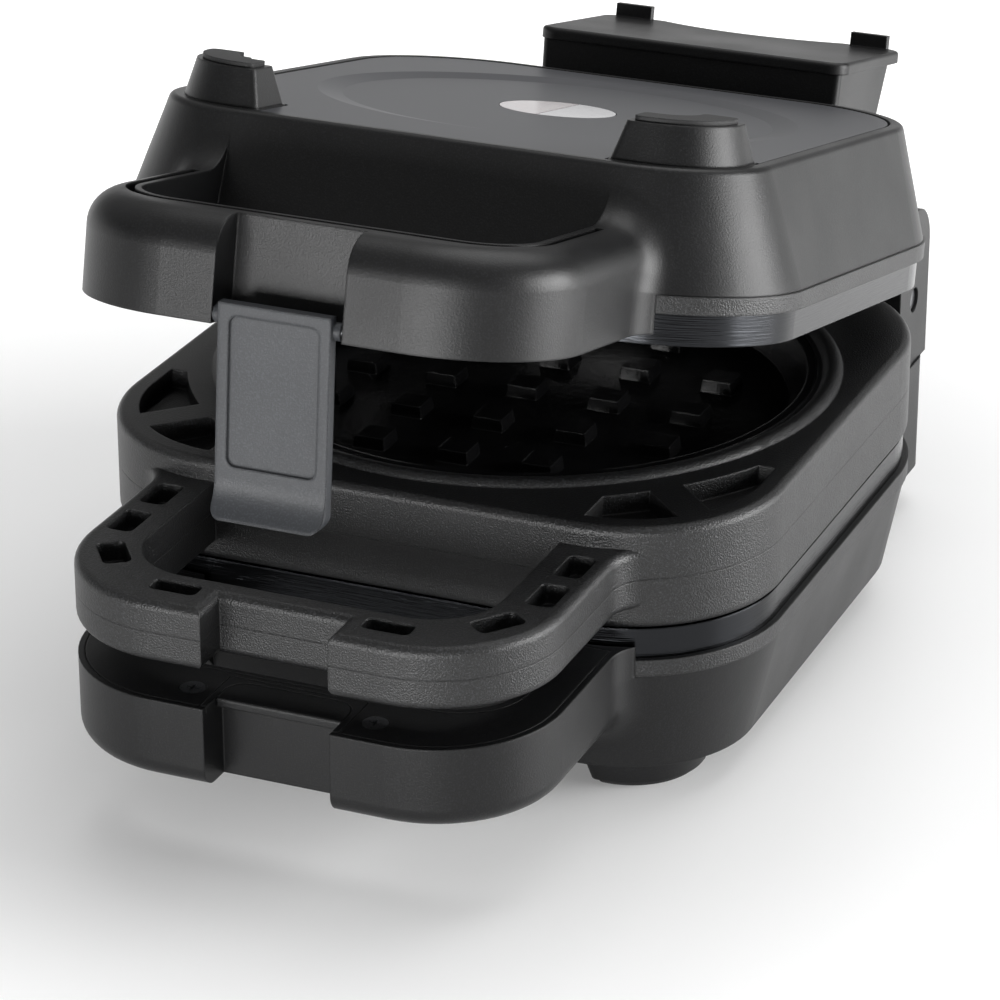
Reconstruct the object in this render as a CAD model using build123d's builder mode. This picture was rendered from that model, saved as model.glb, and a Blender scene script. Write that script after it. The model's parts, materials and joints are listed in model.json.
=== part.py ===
"""Double-deck round baking appliance: base, folding tray, lid and latch.

Millimetres, +Z up, front towards -Y, origin on the table under the middle of the object as it stands here.
The lid is modelled closed and then opened about the rear axle. The two decks mirror each other about the
seam between the tray's halves, so most lid pieces are the base's pieces turned over.
"""

import os
from math import radians, sin, sqrt

from build123d import *

os.makedirs("parts", exist_ok=True)

# Heights, stacked from the table up
PAD_H = 1.4
FOOT_H = 10.6
BASE_SHELL_H = 31.0
BEZEL_H = 5.0
PLATE_EDGE_H = 8.8
PLATE_GAP = 0.3
TRAY_BODY_HALF = 15.2
LID_SHELL_H = 33.0
TRAY_HANDLE_HALF = 9.0
BASE_HANDLE_DROP = 20.0
BASE_HANDLE_H = 24.2
LID_HANDLE_RISE = 18.6
LID_HANDLE_H = 27.8

# Plan of the decks
HALF_W = 100.8
BODY_REACH = 111.0
REAR_Y = 95.0
FRONT_R = 45.0
REAR_R = 53.0
SIDE_DRAFT = 11.5
FRONT_DRAFT = 8.5
REAR_DRAFT = 5.0
BASE_DRAFT = 0.6
BEZEL_PROUD = 0.6
BEZEL_BAND = 7.8
PLATE_INSET = 1.2
WALL = 2.6
ROOF = 5.0
TOP_EDGE_ROUND = 1.8

# Handle loops
HANDLE_HALF_W = 70.2
HANDLE_REACH = 188.0
HANDLE_R = 36.0
ROOT_R = 13.0
NOTCH_HALF_W = 18.5
NOTCH_DEPTH = 11.5
GAP_R = 20.0
GAP_OVERLAP = 7.0
TRAY_GAP_HALF_W = 52.5
TRAY_BAR_W = 18.0
LID_GAP_HALF_W = 56.6
LID_BAR_W = 19.3
LID_GAP_R = 16.0
LIP_W = 1.8
GROOVE_W = 2.5
GROOVE_DEPTH = 12.0
GROOVE_STOP = 6.5
BASE_GAP_HALF_W = 56.0
BASE_BAR_W = 25.0
LID_HANDLE_ROUND = 9.8
BASE_HANDLE_ROUND = 6.0
TRAY_EDGE_ROUND = 2.6

# Hinge
HINGE_REACH = 27.0
LID_OPENING = 12.65
AXLE_R = 4.0
AXLE_CLEARANCE = 0.05
AXLE_END = 1.0
EYE_R = 11.0
TOWER_R = 14.4
TOWER_RISE = 15.6
TOWER_W = 22.4
ARM_W = 12.0
ARM_GAP = 0.7
LID_ARM_INNER_X = 31.6
ARM_H = 10.6
ARM_ROOT = 14.0

# Baking wells
WELL_SET = 7.5
RIM_MARGIN = 10.3
RIM_TUBE_R = 3.3
RIM_PROUD = 2.0
RIM_ROOM = 1.0
RIM_WALL = 1.2
INSERT_RING = 3.0
WELL_SINK = 8.5
WELL_DRAFT = 25.0
INSERT_SHEET = 2.5
PEG_W = 10.0
PEG_PITCH = 26.0
PEG_H = 4.0
PEG_DRAFT = 8.0
PEG_EDGE = 17.5
TRAY_FLOOR_H = 4.7

# Tray pockets
POCKET_DEPTH = 6.0
POCKET_W = 8.0
POCKET_INSET = 8.0
SIDE_POCKET_L = 14.0
SIDE_POCKET_1 = 64.0
SIDE_POCKET_2 = 44.5
CORNER_POCKET_X = 13.8
CORNER_POCKET_Y = 24.2
CORNER_POCKET_TURN = 37.0
FRONT_POCKET_X = 31.0
FRONT_POCKET_W = 6.6
FRONT_POCKET_SET = 11.0
RIB_W = 10.0
RIB_ANGLE = 45.0
POCKET_INNER_X = 57.0
POCKET_END = 57.0
POCKET_WALL = 6.5
POCKET_RING = 7.0
POCKET_R = 2.0

# Feet
FOOT_MARGIN = 5.2
FOOT_L = 31.5
FOOT_BAND = 19.0
FOOT_R = 24.5
FOOT_END_R = 2.0
FOOT_INNER_R = 10.0
FOOT_TAPER = 2.8
FOOT_ROOM = 0.4
PAD_MARGIN = 1.6
REAR_FOOT_X = 50.0
REAR_FOOT_SET = 4.0
REAR_FOOT_R = 12.0

# Lid top
INLAY_MARGIN = 3.8
INLAY_GROOVE = 0.8
INLAY_SHEET = 1.8
INLAY_DEPTH = 2.0
LENS_SET = 1.0
DISH_R = 71.0
DISH_DEPTH = 1.0
DISH_SLOPE = 7.5
LENS_R = 17.2
LENS_SLIT = 0.35
LENS_T = 2.2
LENS_LEDGE = 3.4
LENS_CLEARANCE = 0.25
LAMP_R = 2.5
LAMP_H = 8.0
LAMP_X = 7.0
BOARD_DROP = 7.5
BOARD_POST_X = 18.0
BOARD_POST_R = 3.0
BOARD_L = 44.0
BOARD_W = 20.0
BOARD_T = 1.6

# Cord box on the lid's rear
BOX_HALF_W = 50.6
BOX_SET = 10.4
BOX_DEPTH = 56.0
BOX_RISE = 0.5
BOX_H = 39.1
BOX_TAPER = 14.0
BOX_SIDE_TAPER = 1.0
BOX_FRONT_R = 2.0
BOX_WALL = 2.4
COVER_T = 3.7
COVER_LIP = 1.4
COVER_DEPTH = 63.6
COVER_R = 6.0
COVER_ROUND = 1.2
SCOOP_HALF_W = 31.0
SCOOP_DEPTH = 9.0
TAB_W = 12.4
TAB_X = 41.2
TAB_T = 3.0
TAB_H = 4.4
NECK_HALF_W = 45.0
NECK_H = 25.4

# Latch
LATCH_W = 32.0
LATCH_PIVOT_SET = 2.0
LATCH_PIVOT_RISE = 2.7
LATCH_LEAN = 6.7
LATCH_BARREL_R = 3.4
LATCH_SIDE_GAP = 0.5
LATCH_PIN_R = 1.6
LATCH_PIN_GRIP = 2.6
LATCH_PANEL_T = 3.3
LATCH_TOP = 4.1
LATCH_LENGTH = 43.0
LATCH_LIP = 10.5
LATCH_LIP_T = 2.6
LATCH_FLARE = 4.2
LATCH_SLOPE = 0.8
LATCH_CORNER_R = 3.5
LATCH_BORDER = 3.2
LATCH_RECESS = 1.0
LATCH_RECESS_R = 2.5
HOOK_PLAY = 1.8
HOOK_DROP = 1.6
HOOK_T = 3.0
HOOK_W = 22.0
HOOK_ROOM = 0.6
STRIKE_PROUD = 3.6
STRIKE_SEAT = 7.5
STRIKE_T = 2.6
STRIKE_ROUND = 0.8
STRIKE_REAR_R = 6.0

# Base handle cover and fastenings
COVER_SHEET = 2.0
COVER_RIM = 1.8
COVER_FIT = 0.2
SCREW_X = 26.9
SCREW_SET = 11.0
SCREW_HEAD_R = 3.6
SCREW_R = 1.9
SCREW_L = 12.0
TRAY_SCREW_R = 2.0
TRAY_SCREW_HEAD_R = 3.8
TRAY_SCREW_INSET = 15.3
TRAY_SCREW_FRONT = 33.0
TRAY_SCREW_REAR = 49.0
TRAY_SCREW_SEAT = 4.5
TRAY_SCREW_BITE = 4.8

# Heat and wiring
HEATER_R = 52.0
HEATER_TUBE_R = 3.4
TRAY_HEATER_TUBE_R = 2.0
THERMOSTAT_R = 8.0
THERMOSTAT_H = 7.0
TERMINAL_L = 30.0
TERMINAL_W = 14.0
TERMINAL_H = 12.0
TERMINAL_PITCH = 9.0
INLET_R = 8.0
INLET_NECK_R = 5.5
INLET_BORE_R = 3.6
INLET_PROUD = 5.0
INLET_Z = 30.0
REAR_BLOCK_HALF_W = 80.0
REAR_BLOCK_RISE = 7.0
REAR_BLOCK_R = 8.0
FIT = 0.2

# Levels and places worked out from the driving sizes
BASE_BOTTOM = PAD_H + FOOT_H
BASE_RIM = BASE_BOTTOM + BASE_SHELL_H
BASE_BEZEL_TOP = BASE_RIM + BEZEL_H
BASE_PLATE_TOP = BASE_BEZEL_TOP + PLATE_EDGE_H
SEAM_Z = BASE_PLATE_TOP + PLATE_GAP + TRAY_BODY_HALF
SEAM = Plane.XY.offset(SEAM_Z)
TRAY_TOP = SEAM_Z + TRAY_BODY_HALF
TRAY_FLOOR = SEAM_Z + TRAY_FLOOR_H
BASE_HANDLE_TOP = SEAM_Z - BASE_HANDLE_DROP
BASE_HANDLE_BOTTOM = BASE_HANDLE_TOP - BASE_HANDLE_H
LID_HANDLE_BOTTOM = SEAM_Z + LID_HANDLE_RISE
LID_HANDLE_TOP = LID_HANDLE_BOTTOM + LID_HANDLE_H
LID_RIM = 2 * SEAM_Z - BASE_RIM
LID_TOP = LID_RIM + LID_SHELL_H
PLATE_UNDERSIDE = BASE_BEZEL_TOP - BEZEL_H / 2
MIDDLE = Plane.XY.offset((BASE_BOTTOM + LID_TOP) / 2)

BODY_FRONT = -BODY_REACH
HANDLE_FRONT = -HANDLE_REACH
BLOCK_BACK = BODY_FRONT + FRONT_R / 2
NOTCH_FACE = HANDLE_FRONT + NOTCH_DEPTH
STRIKE_FRONT = NOTCH_FACE - STRIKE_PROUD
STRIKE_REAR = NOTCH_FACE + STRIKE_SEAT
GAP_BACK = BODY_FRONT + GAP_OVERLAP
TRAY_GAP_FRONT = HANDLE_FRONT + TRAY_BAR_W
LID_GAP_FRONT = HANDLE_FRONT + LID_BAR_W
BASE_GAP_FRONT = HANDLE_FRONT + BASE_BAR_W
GROOVE_END = BODY_FRONT - GROOVE_STOP
SCREW_Y = HANDLE_FRONT + SCREW_SET

HINGE_Y = REAR_Y + HINGE_REACH
TRAY_ARM_INNER_X = LID_ARM_INNER_X + ARM_W + ARM_GAP
TOWER_INNER_X = TRAY_ARM_INNER_X + ARM_W + ARM_GAP
REAR_BLOCK_TOP = BASE_RIM + REAR_BLOCK_RISE
REAR_BLOCK_BACK = HINGE_Y + TOWER_R
REAR_FOOT_Y = HINGE_Y - REAR_FOOT_SET

WELL_Y = -WELL_SET
RIM_R = HALF_W - RIM_MARGIN
RIM_SEAT_R = RIM_R + RIM_TUBE_R + RIM_ROOM
INSERT_R = RIM_R - RIM_TUBE_R - RIM_WALL
WELL_R = INSERT_R - INSERT_RING
PEG_REACH = WELL_R - PEG_EDGE
POCKET_RING_R = RIM_R + RIM_TUBE_R + POCKET_RING
TRAY_SCREW_X = HALF_W - TRAY_SCREW_INSET
TRAY_SCREW_YS = (BODY_FRONT + TRAY_SCREW_FRONT, REAR_Y - TRAY_SCREW_REAR)
TRAY_SCREW_SPOTS = [(x, y) for x in (-TRAY_SCREW_X, TRAY_SCREW_X) for y in TRAY_SCREW_YS]

LENS_Y = -LENS_SET
LENS_TOP = LID_TOP - INLAY_DEPTH + INLAY_SHEET - DISH_DEPTH
BOX_FRONT = HINGE_Y - BOX_SET
BOX_BOTTOM_Z = LID_RIM + BOX_RISE
BOX_TOP_Z = BOX_BOTTOM_Z + BOX_H
COVER_HALF_W = BOX_HALF_W + COVER_LIP
COVER_FRONT = BOX_FRONT - COVER_LIP
COVER_REAR = COVER_FRONT + COVER_DEPTH

LATCH_PIVOT_Y = HANDLE_FRONT + LATCH_PIVOT_SET
LATCH_PIVOT_Z = LID_HANDLE_BOTTOM + LATCH_PIVOT_RISE
LATCH_HOOK_Z = LATCH_PIVOT_Z - BASE_HANDLE_TOP + STRIKE_T + HOOK_PLAY
LATCH_END = LATCH_LENGTH + LATCH_LIP
HOOK_SWEEP = (LATCH_HOOK_Z + HOOK_T) * sin(radians(LATCH_LEAN))
HOOK_TIP = NOTCH_FACE - LATCH_PIVOT_Y - HOOK_SWEEP - HOOK_ROOM

# The lid turns about the axle, front up
LID_PLACE = Location((0, HINGE_Y, SEAM_Z), (-LID_OPENING, 0, 0)) * Location((0, -HINGE_Y, -SEAM_Z))

CENTRE = (Align.CENTER, Align.CENTER)
UPWARD = (*CENTRE, Align.MIN)
DOWNWARD = (*CENTRE, Align.MAX)


def save(piece, name):
    """Labels a finished piece and writes its file."""
    piece.part.label = name
    export_step(piece.part, f"parts/{name}.step")


def mirrored(corners):
    """The same outline on the left-hand side."""
    return [((-x, y), r) for (x, y), r in reversed(corners)]


def both_sides(right):
    """Adds the left-hand half of a plan whose right-hand corners run from front to rear."""
    return right + mirrored(right)


def body_corners(inset=0.0, draft=0.0):
    """Corners and radii of a deck's body, drawn in by inset, or by the walls' draft at the far edge."""
    half_w = HALF_W - inset - draft * SIDE_DRAFT
    front = BODY_FRONT + inset + draft * FRONT_DRAFT
    rear = REAR_Y - inset - draft * REAR_DRAFT
    shrink = inset + draft * SIDE_DRAFT
    return both_sides([((half_w, front), FRONT_R - shrink), ((half_w, rear), REAR_R - shrink)])


def block_corners(inset=0.0):
    """Plan of a handle block whose straight sides run back into the deck's wall."""
    half_w = HANDLE_HALF_W - inset
    return both_sides([((half_w, HANDLE_FRONT + inset), HANDLE_R - inset), ((half_w, BLOCK_BACK), 0)])


def root_edges(piece):
    """The concave edges where a handle's sides meet the deck's front corners."""
    return [
        edge
        for edge in piece.edges()
        if abs(abs(edge.center().X) - HANDLE_HALF_W) < WALL / 2
        and abs(edge.center().Y - BODY_FRONT) < FRONT_DRAFT
    ]


def foot_corners(margin=0.0):
    """Plan of the foot at the right-hand front corner, a band that follows the drafted edge round it."""
    front = BODY_FRONT + FRONT_DRAFT + FOOT_MARGIN - margin
    side = HALF_W - SIDE_DRAFT - FOOT_MARGIN + margin
    reach = FOOT_L + 2 * margin
    band = FOOT_BAND + 2 * margin
    return [
        ((side - reach, front), FOOT_END_R),
        ((side, front), FOOT_R + margin),
        ((side, front + reach), FOOT_END_R),
        ((side - band, front + reach), FOOT_END_R),
        ((side - band, front + band), FOOT_INNER_R),
        ((side - reach, front + band), FOOT_END_R),
    ]


def box_corners(drop, side_drop=0.0, inset=0.0):
    """Plan of the cord box, whose rear wall leans forward by drop and its sides inward by side_drop."""
    half_w = BOX_HALF_W - inset - side_drop
    rear = BOX_FRONT + BOX_DEPTH - inset - drop
    return both_sides([((half_w, BOX_FRONT + inset), BOX_FRONT_R), ((half_w, rear), COVER_R - inset)])


def draw(corners, mode=Mode.ADD):
    """Draws a closed, rounded outline in the current sketch."""
    with BuildLine() as outline:
        FilletPolyline(*[p for p, r in corners], radius=[r for p, r in corners], close=True)
    make_face(outline.edges(), mode=mode)


def draw_gap(half_w, front, front_r=GAP_R, back=GAP_BACK, mode=Mode.ADD):
    """Draws a finger gap in a handle."""
    draw(both_sides([((half_w, front), front_r), ((half_w, back), 0)]), mode=mode)


def draw_handle_cover(rim):
    """Draws the plan of the base's handle cover, a rim's width inside every edge of the handle."""
    draw(block_corners(inset=rim))
    Rectangle(2 * HALF_W, 2 * (rim - BODY_FRONT), mode=Mode.SUBTRACT)
    with Locations((0, NOTCH_FACE)):
        Rectangle(2 * (NOTCH_HALF_W + rim), 2 * (STRIKE_REAR - NOTCH_FACE + rim), mode=Mode.SUBTRACT)
    draw_gap(BASE_GAP_HALF_W + rim, BASE_GAP_FRONT - rim, mode=Mode.SUBTRACT)


# Base shell: a drafted tub with the handle block in front and the hinge block behind, and room for the hook
with BuildPart() as base_shell:
    with BuildSketch(Plane.XY.offset(BASE_HANDLE_BOTTOM)):
        draw(block_corners())
    extrude(amount=BASE_HANDLE_H)
    lower_edges = base_shell.faces().sort_by(Axis.Z)[0].edges().sort_by(Axis.Y)[:-1]
    fillet(lower_edges, radius=BASE_HANDLE_ROUND)
    with BuildSketch(Plane.XY.offset(BASE_HANDLE_BOTTOM)):
        draw_gap(BASE_GAP_HALF_W, BASE_GAP_FRONT)
    extrude(amount=BASE_HANDLE_H, mode=Mode.SUBTRACT)
    with BuildSketch(Plane.XY.offset(BASE_BOTTOM)):
        draw(body_corners(draft=BASE_DRAFT))
    with BuildSketch(Plane.XY.offset(BASE_RIM)):
        draw(body_corners())
    loft(ruled=True)
    with BuildSketch(Plane.XY.offset(BASE_RIM)):
        draw(body_corners())
    extrude(amount=BASE_HANDLE_TOP - BASE_RIM)
    fillet(root_edges(base_shell), radius=ROOT_R)
    with BuildSketch(Plane.XY.offset(BASE_BOTTOM)):
        with Locations((0, (REAR_BLOCK_BACK + WELL_Y) / 2)):
            RectangleRounded(2 * REAR_BLOCK_HALF_W, REAR_BLOCK_BACK - WELL_Y, REAR_BLOCK_R)
    extrude(amount=REAR_BLOCK_TOP - BASE_BOTTOM)
    with BuildSketch(Plane.XY.offset(BASE_BOTTOM + WALL)):
        draw(body_corners(inset=WALL, draft=BASE_DRAFT))
    with BuildSketch(Plane.XY.offset(BASE_RIM)):
        draw(body_corners(inset=WALL))
    loft(ruled=True, mode=Mode.SUBTRACT)
    with BuildSketch(Plane.XY.offset(BASE_RIM)):
        draw(body_corners(inset=-BEZEL_PROUD - FIT))
    extrude(amount=BASE_HANDLE_TOP - BASE_RIM, mode=Mode.SUBTRACT)
    with BuildSketch(Plane.XY.offset(BASE_BOTTOM + WALL)):
        with Locations((0, (REAR_BLOCK_BACK - WALL + WELL_Y) / 2)):
            Rectangle(2 * (REAR_BLOCK_HALF_W - WALL), REAR_BLOCK_BACK - WALL - WELL_Y)
    extrude(amount=BASE_RIM - BASE_BOTTOM - 2 * WALL, mode=Mode.SUBTRACT)
    with BuildSketch(Plane.XY.offset(BASE_BOTTOM)):
        with Locations((0, HANDLE_FRONT)):
            Rectangle(2 * NOTCH_HALF_W, 2 * NOTCH_DEPTH)
    extrude(amount=BASE_HANDLE_TOP - BASE_BOTTOM, mode=Mode.SUBTRACT)
    with BuildSketch(Plane.XY.offset(BASE_HANDLE_TOP - STRIKE_T)):
        draw(both_sides([((NOTCH_HALF_W, NOTCH_FACE), 0), ((NOTCH_HALF_W, STRIKE_REAR), STRIKE_REAR_R)]))
    extrude(amount=STRIKE_T, mode=Mode.SUBTRACT)
    with BuildSketch(Plane.XY.offset(BASE_HANDLE_TOP - COVER_SHEET)):
        draw_handle_cover(COVER_RIM)
    extrude(amount=COVER_SHEET, mode=Mode.SUBTRACT)
    with Locations(*[(x, SCREW_Y, BASE_HANDLE_TOP - COVER_SHEET) for x in (-SCREW_X, SCREW_X)]):
        Hole(SCREW_R + FIT, depth=SCREW_L)
    with Locations(Location((0, REAR_BLOCK_BACK, INLET_Z), (-90, 0, 0))):
        Hole(INLET_NECK_R + FIT, depth=2 * WALL)
save(base_shell, "base_shell")

# Handle cover: a thin sheet let into the top of the base's handle
with BuildPart() as base_handle_cover:
    with BuildSketch(Plane.XY.offset(BASE_HANDLE_TOP - COVER_SHEET)):
        draw_handle_cover(COVER_RIM + COVER_FIT)
    extrude(amount=COVER_SHEET)
    with Locations(*[(x, SCREW_Y, BASE_HANDLE_TOP) for x in (-SCREW_X, SCREW_X)]):
        CounterSinkHole(SCREW_R + FIT, SCREW_HEAD_R + FIT, counter_sink_angle=90)
save(base_handle_cover, "base_handle_cover")

# Two countersunk screws hold the cover
with BuildPart() as cover_screws:
    head_h = SCREW_HEAD_R - SCREW_R
    for x in (-SCREW_X, SCREW_X):
        with Locations((x, SCREW_Y, BASE_HANDLE_TOP - head_h)):
            Cone(SCREW_R, SCREW_HEAD_R, head_h, align=UPWARD)
            Cylinder(SCREW_R, SCREW_L - head_h, align=DOWNWARD)
        with Locations((x, SCREW_Y, BASE_HANDLE_TOP)):
            Box(2 * SCREW_R, SCREW_R / 3, SCREW_R, mode=Mode.SUBTRACT)
            Box(SCREW_R / 3, 2 * SCREW_R, SCREW_R, mode=Mode.SUBTRACT)
save(cover_screws, "cover_screws")

# Strike plate: the ledge in the base's notch that the latch hooks under
with BuildPart() as strike_plate:
    with BuildSketch(Plane.XY.offset(BASE_HANDLE_TOP - STRIKE_T)):
        half_w = NOTCH_HALF_W - FIT
        draw(both_sides([((half_w, STRIKE_FRONT), 0), ((half_w, STRIKE_REAR - FIT), STRIKE_REAR_R)]))
    extrude(amount=STRIKE_T)
    front_top = strike_plate.edges().filter_by(Axis.X).group_by(Axis.Z)[-1].sort_by(Axis.Y)[0]
    fillet(front_top, radius=STRIKE_ROUND)
save(strike_plate, "strike_plate")

# Bezel: the textured strip between shell and baking plate
with BuildPart() as base_bezel:
    with BuildSketch(Plane.XY.offset(BASE_RIM)):
        draw(body_corners(inset=-BEZEL_PROUD))
        draw(body_corners(inset=BEZEL_BAND), mode=Mode.SUBTRACT)
    extrude(amount=BEZEL_H)
save(base_bezel, "base_bezel")

# Baking plate of the base: a casting whose edge shows as a bright strip, with a seat for the tray's rim
with BuildPart() as base_plate:
    with BuildSketch(Plane.XY.offset(BASE_BEZEL_TOP)):
        draw(body_corners(inset=PLATE_INSET))
    extrude(amount=PLATE_EDGE_H)
    with Locations((0, WELL_Y, BASE_BEZEL_TOP)):
        Cylinder(INSERT_R, BEZEL_H / 2, align=DOWNWARD)
    with Locations((0, WELL_Y, BASE_PLATE_TOP)):
        Cylinder(RIM_SEAT_R, RIM_PROUD + RIM_ROOM, align=DOWNWARD, mode=Mode.SUBTRACT)
    with BuildSketch(Plane.XY.offset(BASE_PLATE_TOP)):
        with Locations((0, WELL_Y)):
            Circle(WELL_R)
    extrude(amount=-WELL_SINK, taper=WELL_DRAFT, mode=Mode.SUBTRACT)
    peg_spots = [
        (column * PEG_PITCH, WELL_Y + row * PEG_PITCH)
        for column in range(-2, 3)
        for row in range(-2, 3)
        if PEG_PITCH * sqrt(column**2 + row**2) < PEG_REACH
    ]
    with BuildSketch(Plane.XY.offset(BASE_PLATE_TOP - WELL_SINK)):
        with Locations(*peg_spots):
            Rectangle(PEG_W, PEG_W)
    extrude(amount=PEG_H, taper=PEG_DRAFT)
save(base_plate, "base_plate")

# Ring heater and thermostat under the plate
with BuildPart() as base_heater:
    with Locations((0, WELL_Y, PLATE_UNDERSIDE - HEATER_TUBE_R - FIT)):
        Torus(HEATER_R, HEATER_TUBE_R)
save(base_heater, "base_heater")

with BuildPart() as base_thermostat:
    with Locations((0, WELL_Y, PLATE_UNDERSIDE)):
        Cylinder(THERMOSTAT_R, THERMOSTAT_H, align=DOWNWARD)
save(base_thermostat, "base_thermostat")

# Terminal block on the base's floor and the bushing that the supply cord would come in through
with BuildPart() as terminal_block:
    with Locations((0, HINGE_Y - TERMINAL_L, BASE_BOTTOM + WALL)):
        Box(TERMINAL_L, TERMINAL_W, TERMINAL_H, align=UPWARD)
    terminal_xs = (-TERMINAL_PITCH, 0, TERMINAL_PITCH)
    with Locations(*[(x, HINGE_Y - TERMINAL_L, BASE_BOTTOM + WALL + TERMINAL_H) for x in terminal_xs]):
        Hole(SCREW_R, depth=TERMINAL_H / 2)
save(terminal_block, "terminal_block")

with BuildPart() as cord_inlet:
    with Locations(Location((0, REAR_BLOCK_BACK, INLET_Z), (-90, 0, 0))):
        Cone(INLET_R, INLET_NECK_R, INLET_PROUD, align=UPWARD)
        Cylinder(INLET_NECK_R, 2 * WALL, align=DOWNWARD)
    with Locations(Location((0, REAR_BLOCK_BACK, INLET_Z), (-90, 0, 0))):
        Cylinder(INLET_BORE_R, 4 * (WALL + INLET_PROUD), mode=Mode.SUBTRACT)
save(cord_inlet, "cord_inlet")

# Front feet: tapered bands that follow the corners, each with a rubber pad
with BuildPart() as base_foot_front_right:
    with BuildSketch(Plane.XY.offset(BASE_BOTTOM)):
        draw(foot_corners())
    with BuildSketch(Plane.XY.offset(BASE_BOTTOM - FOOT_H)):
        draw(foot_corners(margin=-FOOT_TAPER))
    loft(ruled=True)
save(base_foot_front_right, "base_foot_front_right")

with BuildPart() as base_foot_front_left:
    add(mirror(base_foot_front_right.part, about=Plane.YZ, mode=Mode.PRIVATE))
save(base_foot_front_left, "base_foot_front_left")

with BuildPart() as base_pad_front_right:
    with BuildSketch(Plane.XY):
        draw(foot_corners(margin=-FOOT_TAPER - PAD_MARGIN))
    extrude(amount=PAD_H)
save(base_pad_front_right, "base_pad_front_right")

with BuildPart() as base_pad_front_left:
    add(mirror(base_pad_front_right.part, about=Plane.YZ, mode=Mode.PRIVATE))
save(base_pad_front_left, "base_pad_front_left")

# Rear feet under the hinge block
with BuildPart() as base_foot_rear_right:
    with Locations((REAR_FOOT_X, REAR_FOOT_Y, BASE_BOTTOM)):
        Cone(REAR_FOOT_R - FOOT_TAPER, REAR_FOOT_R, FOOT_H, align=DOWNWARD)
save(base_foot_rear_right, "base_foot_rear_right")

with BuildPart() as base_foot_rear_left:
    add(mirror(base_foot_rear_right.part, about=Plane.YZ, mode=Mode.PRIVATE))
save(base_foot_rear_left, "base_foot_rear_left")

with BuildPart() as base_pad_rear_right:
    with Locations((REAR_FOOT_X, REAR_FOOT_Y, 0)):
        pad_r = REAR_FOOT_R - FOOT_TAPER - PAD_MARGIN
        Cylinder(pad_r, PAD_H, align=UPWARD)
save(base_pad_rear_right, "base_pad_rear_right")

with BuildPart() as base_pad_rear_left:
    add(mirror(base_pad_rear_right.part, about=Plane.YZ, mode=Mode.PRIVATE))
save(base_pad_rear_left, "base_pad_rear_left")

# Hinge: two towers on the base carry an axle each, for the tray's and the lid's arms
with BuildPart() as hinge_tower_right:
    with BuildSketch(Plane.YZ.offset(TOWER_INNER_X)):
        with Locations((HINGE_Y, SEAM_Z + TOWER_RISE)):
            Circle(TOWER_R)
        with Locations((HINGE_Y, REAR_BLOCK_TOP)):
            Rectangle(2 * TOWER_R, SEAM_Z + TOWER_RISE - REAR_BLOCK_TOP, align=(Align.CENTER, Align.MIN))
        with Locations((HINGE_Y, SEAM_Z)):
            Circle(AXLE_R + AXLE_CLEARANCE, mode=Mode.SUBTRACT)
    extrude(amount=TOWER_W)
save(hinge_tower_right, "hinge_tower_right")

with BuildPart() as hinge_tower_left:
    add(mirror(hinge_tower_right.part, about=Plane.YZ, mode=Mode.PRIVATE))
save(hinge_tower_left, "hinge_tower_left")

with BuildPart() as hinge_axle_right:
    with BuildSketch(Plane.YZ.offset(LID_ARM_INNER_X - AXLE_END)):
        with Locations((HINGE_Y, SEAM_Z)):
            Circle(AXLE_R)
    extrude(amount=TOWER_INNER_X + TOWER_W - LID_ARM_INNER_X)
    chamfer(hinge_axle_right.edges().filter_by(GeomType.CIRCLE), length=AXLE_R / 8)
save(hinge_axle_right, "hinge_axle_right")

with BuildPart() as hinge_axle_left:
    add(mirror(hinge_axle_right.part, about=Plane.YZ, mode=Mode.PRIVATE))
save(hinge_axle_left, "hinge_axle_left")

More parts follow.
